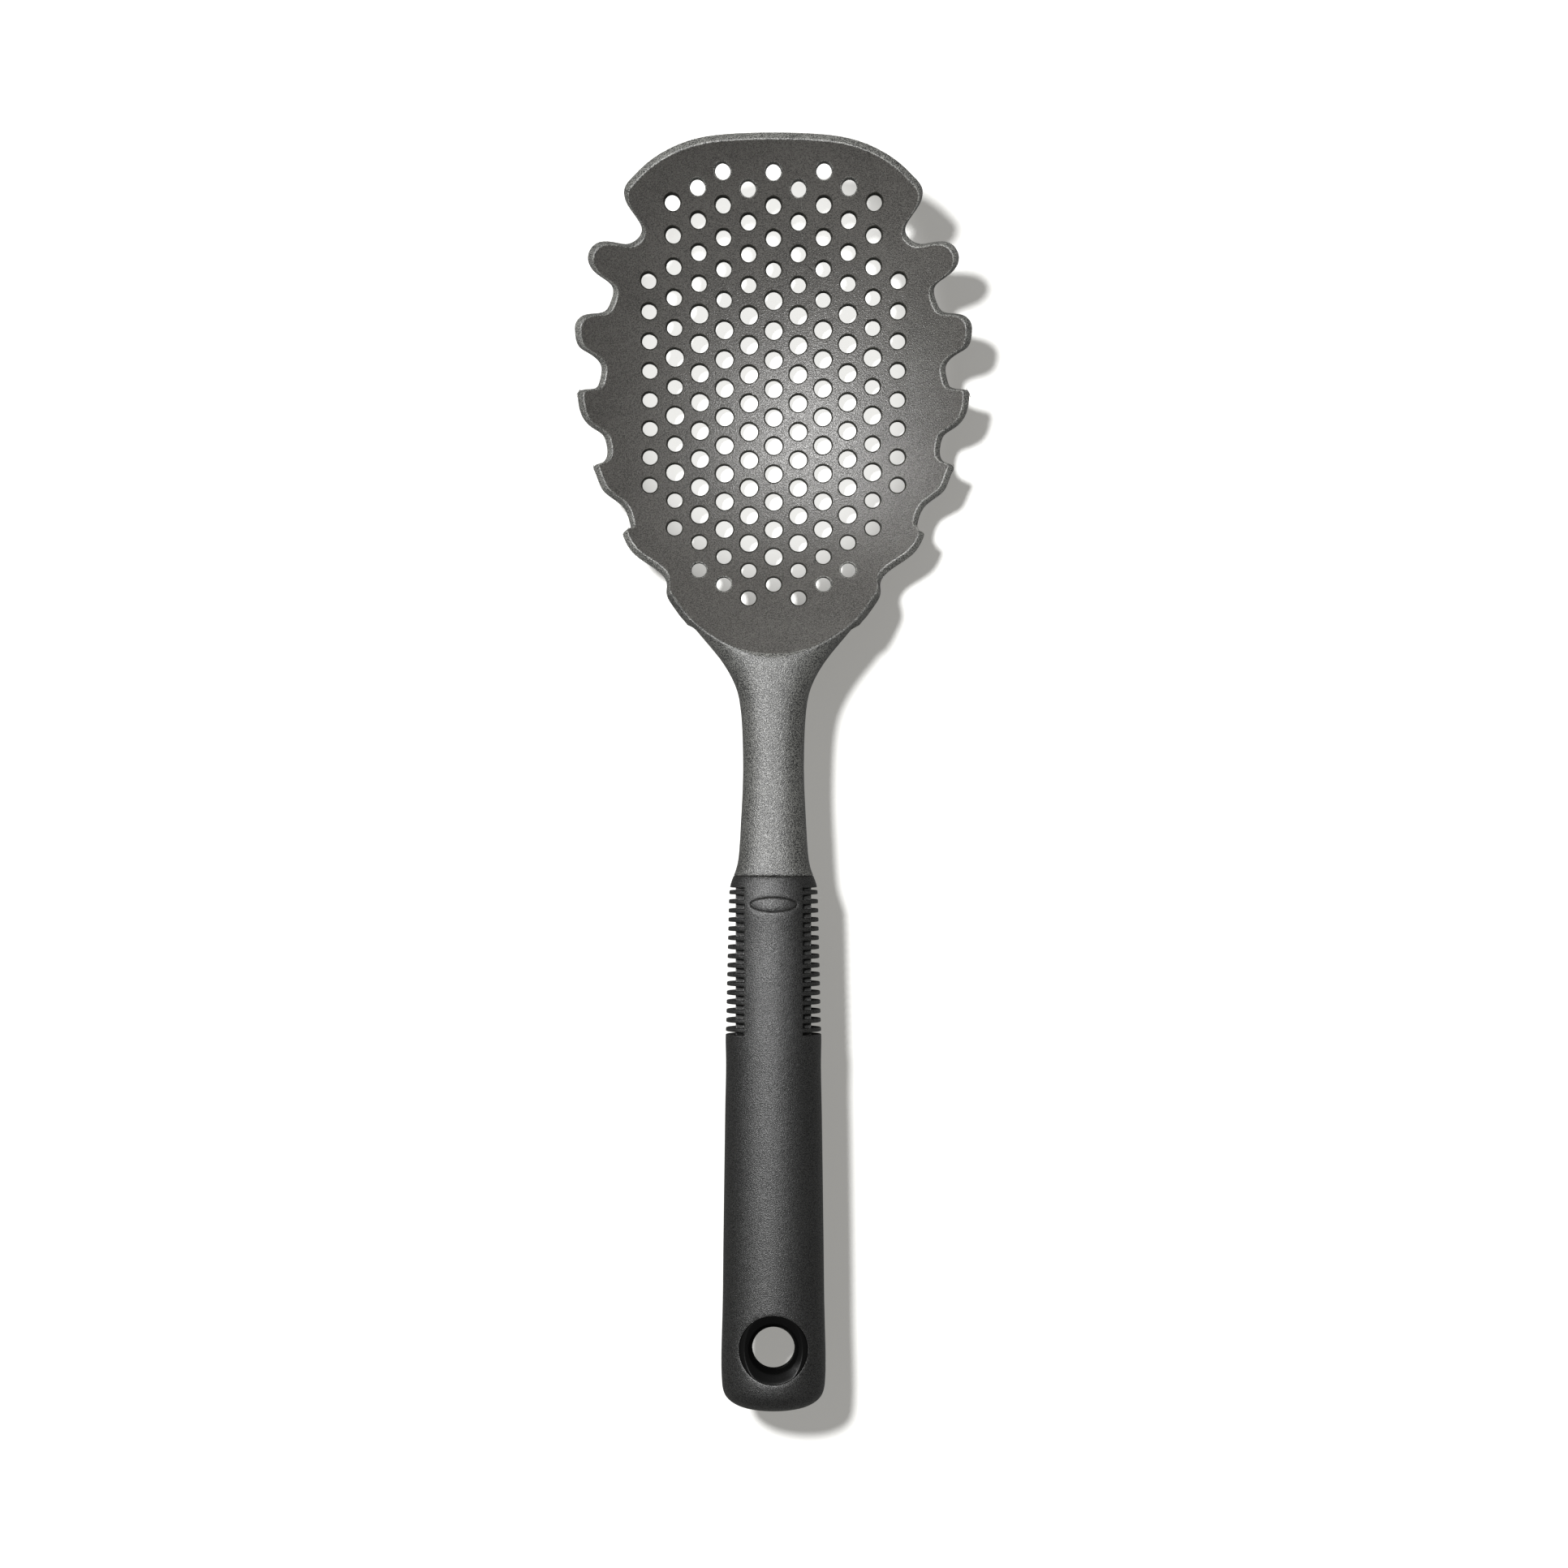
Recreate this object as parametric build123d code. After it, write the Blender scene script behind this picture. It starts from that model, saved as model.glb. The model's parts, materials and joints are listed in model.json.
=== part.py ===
from build123d import *
from build123d.topology import SkipClean
import math
import os

# A pasta server: a toothed bowl full of drain holes, on a slim neck with a soft ribbed grip.
# X = 0 is the plane of symmetry, +Y runs from the grip to the bowl, and Z = 0 is where it stands.
# The origin is the bottom centre of the whole tool.

# Whole tool
overall_length = 349.4
grip_axis_height = 27.0

# Bowl: its inner skin is a cross arc carried along a front arc, a rear arc and a straight rise
bowl_half_width = 53.0
bowl_length = 139.9
wall = 2.8
cross_radius = 78.0
front_radius = 98.0
rear_radius = 70.0
rear_slope = 38.0
low_point_inset = 79.5
skin_margin = 8.0
skin_tolerance = 0.005
raw_lift = 1.0

# Drain holes on a hexagonal grid
hole_pitch = 8.0
wide_hole_diameter = 4.9
hole_diameter = 4.2

# Neck
neck_half_width = 27.6
neck_height = 12.1
neck_run_into_bowl = 37.6
neck_exponent = 2.3

# Tang inside the handle, tapering to its end
tang_length = 72.5
tang_root_width = 8.4
tang_root_height = 6.4
tang_end_width = 6.8
tang_end_height = 5.2
tang_corner = 1.2
tang_window_diameter = 3.2
tang_window_pitch = 17.0

# Hard core
core_half_width = 11.4
core_half_height = 7.2
core_end_wall = 6.0

# Soft grip
grip_length = 147.2
grip_half_width = 14.35
grip_half_height = 9.5
dome_length = 8.25
dome_exponent = 2.6
nub_radius = 0.9
nub_height = 0.25

# Fins cut into both sides of the grip
fin_count = 16
fin_pitch = 2.507
fin_gap = 1.43
end_gap = 0.8
first_gap_inset = 3.2
spine_half_width = 8.0
pocket_half_width = 10.35
pocket_half_height = 3.6

# Bare oval badge place
badge_inset = 7.7
badge_half_width = 6.65
badge_half_height = 2.15
badge_groove_width = 0.35
badge_groove_depth = 0.25

# Hang hole with the core's ring around it
hang_inset = 18.1
hang_bore = 11.6
hang_throat_length = 3.4
hang_throat_rise = 3.3
ring_diameter = 18.86
ring_sink = 0.3
ring_step_diameter = 13.8
ring_step_depth = 1.9
ring_land_rise = 1.7
under_recess_diameter = 14.8
under_land_depth = 8.6

overrun = 5.0

# Inner rim of the bowl's right half: share of its half width, share of its length back from the lip
rim_shares = (
    # front lip and its corner
    (0.000, 0.000), (0.220, 0.003), (0.374, 0.011), (0.521, 0.030), (0.632, 0.055), (0.704, 0.079),
    (0.748, 0.102), (0.744, 0.119),
    # first tooth
    (0.668, 0.170), (0.736, 0.193), (0.787, 0.193), (0.890, 0.198), (0.932, 0.226), (0.905, 0.248),
    # second tooth
    (0.816, 0.274), (0.827, 0.301), (0.852, 0.317), (0.960, 0.330), (0.999, 0.350), (1.000, 0.365),
    (0.981, 0.390), (0.937, 0.400),
    # third tooth
    (0.878, 0.420), (0.884, 0.450), (0.899, 0.463), (0.987, 0.475), (0.990, 0.485), (0.952, 0.532),
    (0.909, 0.545),
    # fourth tooth
    (0.869, 0.555), (0.852, 0.571), (0.873, 0.608), (0.913, 0.617), (0.905, 0.630), (0.863, 0.665),
    # fifth tooth
    (0.774, 0.691), (0.732, 0.728), (0.732, 0.737), (0.764, 0.743), (0.760, 0.756), (0.686, 0.793),
    # sixth tooth and the flank that runs under the neck
    (0.544, 0.846), (0.546, 0.858), (0.511, 0.888), (0.468, 0.911), (0.435, 0.926),
)
# Each rim edge is built in this many spans, so that inner and outer rim match span by span
rim_spans = 8
# Hidden rear edge of the bowl's wall, inside the neck
rear_edge_shares = ((0.435, 0.926), (0.316, 0.946), (0.112, 0.968), (0.000, 0.972))

# Reach of each column of holes from the pattern's middle, as shares of the bowl's length
pattern_middle_share = 0.452
column_reach_shares = ((0.41, 0.41), (0.38, 0.44), (0.41, 0.41), (0.38, 0.38), (0.35, 0.30), (0.21, 0.21))
wide_reach_shares = ((0.18, 0.35), (0.15, 0.32), (0.12, 0.29), (0.15, 0.26))
outer_wide_reach_shares = (0.065, 0.18)

# Neck sections: way from collar to bowl, half width, then drop of its edge, crown and belly
neck_shares = (
    (1.000, 0.942, 0.802, 0.636, 0.471),
    (0.906, 1.000, 0.281, 0.570, 0.579),
    (0.834, 0.866, 0.058, 0.554, 0.570),
    (0.774, 0.721, 0.050, 0.546, 0.496),
    (0.706, 0.547, 0.033, 0.529, 0.471),
    (0.644, 0.424, 0.010, 0.505, 0.478),
    (0.593, 0.359, 0.000, 0.496, 0.479),
    (0.534, 0.326, 0.000, 0.496, 0.479),
    (0.441, 0.308, 0.000, 0.496, 0.479),
    (0.323, 0.304, 0.000, 0.496, 0.488),
    (0.206, 0.319, 0.000, 0.504, 0.504),
    (0.112, 0.335, 0.000, 0.521, 0.529),
    (0.047, 0.354, 0.000, 0.545, 0.554),
    (0.000, 0.398, 0.000, 0.570, 0.570),
)

# Grip sections: way from collar to dome, half width, half height
grip_shares = (
    (0.000, 0.763, 0.737),
    (0.010, 0.800, 0.785),
    (0.022, 0.833, 0.821),
    (0.040, 0.850, 0.863),
    (0.110, 0.868, 0.880),
    (0.200, 0.889, 0.910),
    (0.300, 0.911, 0.937),
    (0.324, 0.918, 0.947),
    (0.356, 0.912, 0.956),
    (0.430, 0.920, 0.966),
    (0.516, 0.934, 0.979),
    (0.600, 0.945, 0.990),
    (0.677, 0.955, 1.000),
    (0.760, 0.965, 1.000),
    (0.838, 0.973, 1.000),
    (0.900, 0.988, 1.000),
    (0.951, 1.000, 1.000),
    (1.000, 0.990, 0.990),
)
# Rings of the dome, as shares of the grip's last full section, outermost first
dome_ring_shares = (0.92, 0.80, 0.62, 0.40)

# Core sections: way from collar to its end, half width, half height
core_shares = (
    (0.000, 0.596, 0.694),
    (0.100, 0.596, 0.720),
    (0.200, 0.596, 0.750),
    (0.300, 0.610, 0.790),
    (0.380, 0.750, 0.880),
    (0.460, 0.900, 0.965),
    (0.560, 0.965, 0.990),
    (0.680, 0.985, 1.000),
    (0.800, 1.000, 1.000),
    (0.900, 0.980, 0.990),
    (1.000, 0.800, 0.850),
)

# Places worked out from the sizes above
front_y = overall_length / 2
rear_y = -overall_length / 2
collar_y = rear_y + grip_length
low_y = front_y - low_point_inset
lip_y = low_y + low_point_inset / (1 + wall / front_radius)
neck_front_y = low_y - neck_run_into_bowl
neck_length = neck_front_y - collar_y
hang_y = rear_y + hang_inset
slope_angle = math.radians(rear_slope)


def inner_rise(x, y):
    """Height of the bowl's inner skin above its lowest point, and its slopes along X and Y."""
    across = math.sqrt(cross_radius**2 - x**2)
    rise = cross_radius - across
    slope_x = x / across
    reach = y - low_y
    straight_from = rear_radius * math.sin(slope_angle)
    if reach >= 0:
        along = math.sqrt(front_radius**2 - reach**2)
        return rise + front_radius - along, slope_x, reach / along
    if -reach < straight_from:
        along = math.sqrt(rear_radius**2 - reach**2)
        return rise + rear_radius - along, slope_x, reach / along
    rise += rear_radius * (1 - math.cos(slope_angle))
    rise += (-reach - straight_from) * math.tan(slope_angle)
    return rise, slope_x, -math.tan(slope_angle)


def skin_point(x, y, depth):
    """Point of the skin that lies the given depth below the bowl's inner skin, over (x, y)."""
    rise, slope_x, slope_y = inner_rise(x, y)
    outward = Vector(slope_x, slope_y, -1).normalized()
    return Vector(x, y, wall + rise) + outward * depth


def skin_face(depth):
    """One smooth face over the whole bowl and beyond its rim, at a depth below the inner skin."""
    columns = 24
    rows = 32
    half_width = bowl_half_width + skin_margin
    rear = lip_y - bowl_length - skin_margin
    length = lip_y + skin_margin - rear
    grid = []
    for row in range(rows + 1):
        y = rear + length * row / rows
        grid.append([skin_point(half_width * (2 * column / columns - 1), y, depth)
                     for column in range(columns + 1)])
    return Face.make_surface_from_array_of_points(grid, tol=skin_tolerance, min_deg=3, max_deg=6)


def plan_point(width_share, length_share):
    """Point of the rim seen from above."""
    return Vector(bowl_half_width * width_share, lip_y - bowl_length * length_share, 0)


def rim_edges(depth):
    """Edges of the bowl's right half seen from above, where its wall has the given depth."""
    points_per_span = 26
    across = (1, 0, 0)
    down_the_flank = (-0.6, -0.8, 0)
    rim = Spline([plan_point(*share) for share in rim_shares], tangents=[across, down_the_flank])
    edges = []
    for span in range(rim_spans):
        line = []
        for step in range(points_per_span + 1):
            place = rim.position_at((span + step / points_per_span) / rim_spans)
            point = skin_point(place.X, place.Y, depth)
            line.append((point.X, point.Y, 0))
        edges.append(Spline(line))
    hidden = []
    for share in rear_edge_shares:
        place = plan_point(*share)
        point = skin_point(place.X, place.Y, depth)
        hidden.append((point.X, point.Y, 0))
    edges.append(Spline(hidden, tangents=[(-0.9, -0.4, 0), (-1, 0, 0)]))
    return edges


def bowl_skin(depth):
    """The skin at a depth, trimmed to the toothed outline."""
    right = rim_edges(depth)
    left = [edge.mirror(Plane.YZ) for edge in reversed(right)]
    outline = Face(Wire(right + left))
    below = Pos(0, 0, -overrun) * outline
    column = extrude(below, amount=bowl_length, dir=(0, 0, 1), clean=False)
    return (skin_face(depth) & column).faces()[0]


def bowl_blank():
    """The toothed wall as one solid, a little thicker on the inside than it ends up."""
    upper = bowl_skin(-raw_lift)
    lower = bowl_skin(wall)
    lower_edges = list(lower.edges())
    sides = []
    for edge in upper.edges():
        middle = edge.position_at(0.5)
        partner = min(lower_edges, key=lambda other: (other.position_at(0.5) - middle).length)
        sides.append(Face.make_surface_from_curves(edge, partner))
    return Solid(Shell([upper, lower] + sides))


def superellipse(half_width, y, edge_height, crown, belly, exponent):
    """Upright section at y, with its own height above and below the edge."""
    points = 16
    line = []
    for step in range(points):
        angle = 2 * math.pi * step / points
        x = abs(math.cos(angle)) ** (2 / exponent)
        z = abs(math.sin(angle)) ** (2 / exponent)
        height = crown if math.sin(angle) > 0 else -belly
        line.append((math.copysign(half_width * x, math.cos(angle)), y, edge_height + height * z))
    return Wire(Spline(line, periodic=True))


def neck_solid():
    """The neck, from inside the bowl's wall back to the collar."""
    sections = []
    for way, width, drop, crown, belly in neck_shares:
        sections.append(superellipse(neck_half_width * width, collar_y + neck_length * way,
                                     grip_axis_height - neck_height * drop,
                                     neck_height * crown, neck_height * belly, neck_exponent))
    return Solid.make_loft(sections)


def tang_section(y, width, height):
    """One rounded rectangle of the tang, upright at y."""
    plane = Plane(origin=(0, y, grip_axis_height), x_dir=(1, 0, 0), z_dir=(0, 1, 0))
    return (plane * RectangleRounded(width, height, tang_corner)).face().outer_wire()


def tang_solid():
    """The tang with its windows, starting at the collar."""
    root = tang_section(collar_y, tang_root_width, tang_root_height)
    end = tang_section(collar_y - tang_length, tang_end_width, tang_end_height)
    tang = Solid.make_loft([end, root], ruled=True)
    windows = int((tang_length - tang_window_pitch / 2) / tang_window_pitch)
    for number in range(windows):
        y = collar_y - tang_window_pitch * (number + 1)
        tang -= Pos(0, y, grip_axis_height) * Cylinder(tang_window_diameter / 2, tang_root_height * 2)
    return tang


def hole_places():
    """Centre and radius of every drain hole."""
    column_step = hole_pitch * math.sqrt(3) / 2
    row_step = hole_pitch / 2
    middle_y = lip_y - bowl_length * pattern_middle_share
    places = []
    for column, reach in enumerate(column_reach_shares):
        front_rows, rear_rows = [int(bowl_length * share / row_step) for share in reach]
        for row in range(-front_rows, rear_rows + 1):
            if (row + column) % 2:
                continue
            radius = wide_hole_diameter / 2 if is_wide(column, row, row_step) else hole_diameter / 2
            for side in ((1,) if column == 0 else (1, -1)):
                places.append((side * column * column_step, middle_y - row * row_step, radius))
    return places


def is_wide(column, row, row_step):
    """Whether a hole is one of the wide ones around the bowl's lowest part."""
    if column < len(wide_reach_shares):
        front, rear = wide_reach_shares[column]
        return -bowl_length * front / row_step <= row <= bowl_length * rear / row_step
    front, rear = outer_wide_reach_shares
    next_column = column == len(wide_reach_shares)
    every_second = (row + 2) % 4 == 0
    return next_column and every_second and -bowl_length * front / row_step <= row <= bowl_length * rear / row_step


def scoop_head():
    """Bowl, neck and tang, moulded in one."""
    with SkipClean():
        interior = extrude(skin_face(0), amount=bowl_length, dir=(0, 0, 1), clean=False)
        head = bowl_blank() + neck_solid()
        head = (head - interior).solid()
        height = grip_axis_height * 2
        drills = [Pos(x, y, -overrun) * Solid.make_cylinder(radius, height)
                  for x, y, radius in hole_places()]
        head = head.cut(*drills)
        head = head + tang_solid()
    return head.solid()


def grip_body(inset):
    """Outer shape of the grip, made smaller all round by an inset."""
    full_length = grip_length - dome_length - nub_height
    sections = []
    for way, width, height in grip_shares:
        sections.append(superellipse(grip_half_width * width - inset, collar_y - full_length * way,
                                     grip_axis_height, grip_half_height * height - inset,
                                     grip_half_height * height - inset, 2))
    last_width, last_height = grip_shares[-1][1:]
    dome_start = collar_y - full_length
    for share in dome_ring_shares:
        run = (dome_length - inset) * (1 - share**dome_exponent) ** (1 / dome_exponent)
        half_height = (grip_half_height * last_height - inset) * share
        sections.append(superellipse((grip_half_width * last_width - inset) * share, dome_start - run,
                                     grip_axis_height, half_height, half_height, 2))
    return Solid.make_loft(sections)


def core_body():
    """Outer shape of the hard core with its hang-hole boss."""
    length = grip_length - core_end_wall
    sections = []
    for way, width, height in core_shares:
        sections.append(superellipse(core_half_width * width, collar_y - length * way, grip_axis_height,
                                     core_half_height * height, core_half_height * height,
                                     neck_exponent))
    bar = Solid.make_loft(sections)
    boss = Pos(0, hang_y, grip_axis_height) * Cylinder(ring_diameter / 2, grip_half_height * 3)
    return bar + (boss & grip_body(ring_sink))


def hang_cutter():
    """The hole through the core: a short throat, a stepped dish above it and a wide recess below."""
    throat = hang_bore / 2
    ring = ring_diameter / 2
    recess = under_recess_diameter / 2
    bottom = hang_throat_rise - hang_throat_length / 2
    top = bottom + hang_throat_length
    step_rise = top + ring_step_depth
    land_rise = step_rise + ring_land_rise
    under_edge = -under_land_depth
    under_step = under_edge + ring - recess
    with BuildPart() as cutter:
        with BuildSketch(Plane.XZ):
            with BuildLine():
                Polyline((0, under_edge - overrun), (ring, under_edge - overrun), (ring, under_edge),
                         (recess, under_step), (recess, bottom), (throat, bottom), (throat, top),
                         (ring_step_diameter / 2, step_rise), (ring, land_rise),
                         (ring, land_rise + overrun), (0, land_rise + overrun), close=True)
            make_face()
        revolve(axis=Axis.Z)
    return Pos(0, hang_y, grip_axis_height) * cutter.part


def handle_core(tang):
    """Hard core around the tang."""
    return (core_body() - hang_cutter() - tang).solid()


def gap_cutter(y, width):
    """Cutter for one gap between fins, on the right side: open outside, with a pocket floor inside."""
    far = grip_half_width * 2
    with BuildPart() as cutter:
        with BuildSketch(Plane(origin=(0, y + width / 2, grip_axis_height), x_dir=(1, 0, 0),
                               z_dir=(0, -1, 0))):
            with BuildLine():
                Polyline((spine_half_width, far), (far, far), (far, -far), (spine_half_width, -far),
                         (spine_half_width, -pocket_half_height), (pocket_half_width, -pocket_half_height),
                         (pocket_half_width, pocket_half_height), (spine_half_width, pocket_half_height),
                         close=True)
            make_face()
        extrude(amount=width)
    return cutter.part.solid()


def gap_cutters():
    """Cutters for every gap on both sides; the first and last gap are narrower."""
    first_fin = collar_y - first_gap_inset - end_gap - (fin_pitch - fin_gap) / 2
    cutters = []
    for number in range(fin_count + 1):
        y = first_fin - fin_pitch * (number - 0.5)
        width = fin_gap
        if number == 0:
            y = first_fin + (fin_pitch - fin_gap + end_gap) / 2
            width = end_gap
        if number == fin_count:
            y = first_fin - fin_pitch * (fin_count - 1) - (fin_pitch - fin_gap + end_gap) / 2
            width = end_gap
        right = gap_cutter(y, width)
        cutters += [right, right.mirror(Plane.YZ)]
    return cutters


def badge_groove():
    """Shallow oval line around the badge place, following the crown of the grip."""
    outer = Ellipse(badge_half_width, badge_half_height)
    inner = Ellipse(badge_half_width - badge_groove_width, badge_half_height - badge_groove_width)
    place = Pos(0, collar_y - badge_inset, grip_axis_height)
    ring = place * extrude(outer - inner, amount=grip_half_height * 2)
    return ring - grip_body(badge_groove_depth)


def grip_sleeve(core):
    """Soft grip over the core."""
    sleeve = grip_body(0)
    nub_centre = rear_y + nub_radius
    sleeve += Pos(0, nub_centre, grip_axis_height) * Sphere(nub_radius)
    sleeve -= badge_groove()
    sleeve = sleeve.solid().cut(*gap_cutters())
    opening = Pos(0, hang_y, grip_axis_height) * Cylinder(ring_diameter / 2, grip_half_height * 3)
    return (sleeve - opening - core).solid()


def main():
    """Build every piece and write one file for each."""
    os.makedirs("parts", exist_ok=True)
    head = scoop_head()
    tang = tang_solid()
    core = handle_core(tang)
    pieces = {
        "scoop_head": head,
        "handle_core": core,
        "grip_sleeve": grip_sleeve(core_body()),
    }
    for name, piece in pieces.items():
        export_step(piece, f"parts/{name}.step")


main()
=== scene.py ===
"""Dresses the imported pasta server: nylon bowl and neck, hard core with its hang ring, soft ribbed grip.

Everything is in metres in the CAD frame: X = 0 is the plane of symmetry, +Y runs from the grip to the
bowl's lip, and Z = 0 is the surface that the bowl stands on. Sizes in the classes are in millimetres,
except where they say otherwise.
"""

import json
import logging
import math
from collections.abc import Sequence
from dataclasses import dataclass
from enum import Enum, IntEnum

import bpy
import numpy as np
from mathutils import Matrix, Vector

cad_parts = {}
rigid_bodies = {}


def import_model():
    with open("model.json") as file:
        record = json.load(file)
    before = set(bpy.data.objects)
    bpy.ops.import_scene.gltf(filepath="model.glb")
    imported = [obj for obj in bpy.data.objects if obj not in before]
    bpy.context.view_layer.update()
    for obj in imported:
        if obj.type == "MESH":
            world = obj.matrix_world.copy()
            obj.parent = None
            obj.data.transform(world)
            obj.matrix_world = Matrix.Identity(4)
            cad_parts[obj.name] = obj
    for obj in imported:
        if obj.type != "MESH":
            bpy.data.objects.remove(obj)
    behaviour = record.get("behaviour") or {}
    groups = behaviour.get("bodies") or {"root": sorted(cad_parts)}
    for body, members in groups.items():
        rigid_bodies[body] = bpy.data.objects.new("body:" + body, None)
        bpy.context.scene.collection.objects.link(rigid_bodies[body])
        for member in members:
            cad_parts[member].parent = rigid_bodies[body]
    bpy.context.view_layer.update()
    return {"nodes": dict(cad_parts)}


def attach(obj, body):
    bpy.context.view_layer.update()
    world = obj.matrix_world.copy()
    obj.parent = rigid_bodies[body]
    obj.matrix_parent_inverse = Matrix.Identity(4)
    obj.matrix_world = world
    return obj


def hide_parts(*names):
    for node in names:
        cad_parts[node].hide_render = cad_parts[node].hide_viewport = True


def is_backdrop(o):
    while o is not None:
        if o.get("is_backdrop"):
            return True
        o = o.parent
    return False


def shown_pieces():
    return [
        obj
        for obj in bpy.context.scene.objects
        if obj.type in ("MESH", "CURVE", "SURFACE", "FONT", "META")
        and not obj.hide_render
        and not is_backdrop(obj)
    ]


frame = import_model()

MM = 0.001
BODY = "root"
logger = logging.getLogger("pasta_server")

# Distance within which the merged copies of CAD meshes join their corners, in metres
WELD = 0.001 * MM

# Edges that turn by less than this are shaded smooth
SMOOTH_BELOW = math.radians(40)

# Blender's noise at a scale of 1 has its peaks about two units apart. Most of it lies within the tone
# reach of its middle, and nearly all of it within the sheen reach.
NOISE_PEAKS_APART = 2.0
NOISE_MIDDLE = 0.5
NOISE_TONE_REACH = 0.1
NOISE_SHEEN_REACH = 0.2

# Power at which a lamp that doesn't fade with distance lights a white surface facing it to plain white
DISK_POWER = math.pi**2
SPOT_POWER = 4 * math.pi**2


class Slot(Enum):
    """Material slots of the record."""

    HEAD = "head_nylon"
    CORE = "core_plastic"
    GRIP = "grip_rubber"


class Zone(IntEnum):
    """Zones of the head's surface, in the order of its finishes."""

    OUTSIDE = 0
    INSIDE = 1
    HOLE = 2
    RIM = 3


def linear(colour: str) -> tuple[float, float, float, float]:
    """Turn an sRGB hex colour into linear RGBA.

    Args:
        colour: Six hex digits after a hash sign.

    Returns:
        Linear red, green, blue and an alpha of one.
    """
    channels = [int(colour[start:start + 2], 16) / 255 for start in (1, 3, 5)]
    red, green, blue = [c / 12.92 if c <= 0.04045 else ((c + 0.055) / 1.055) ** 2.4 for c in channels]
    return red, green, blue, 1.0


def add_node(owner: bpy.types.Material | bpy.types.World | bpy.types.Light, kind: str,
             inputs: dict | None = None, **settings: object) -> bpy.types.Node:
    """Add one shader node, with its settings, its constant inputs and its links.

    Args:
        owner: Material, world or lamp that gets the node.
        kind: Blender's name for the node type.
        inputs: Input name or number, to a constant or to another node's output socket.
        **settings: Attributes of the node, such as operation or data_type.

    Returns:
        The new node.
    """
    tree = owner.node_tree
    node = tree.nodes.new(kind)
    for name, value in settings.items():
        setattr(node, name, value)
    for name, value in (inputs or {}).items():
        if isinstance(value, bpy.types.NodeSocket):
            tree.links.new(value, node.inputs[name])
        else:
            node.inputs[name].default_value = value
    return node


def new_material(name: str) -> bpy.types.Material:
    """Make an empty node material.

    Args:
        name: What the finish is.

    Returns:
        The material, with no nodes.
    """
    material = bpy.data.materials.new(name)
    material.use_nodes = True
    material.node_tree.nodes.clear()
    return material


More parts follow.
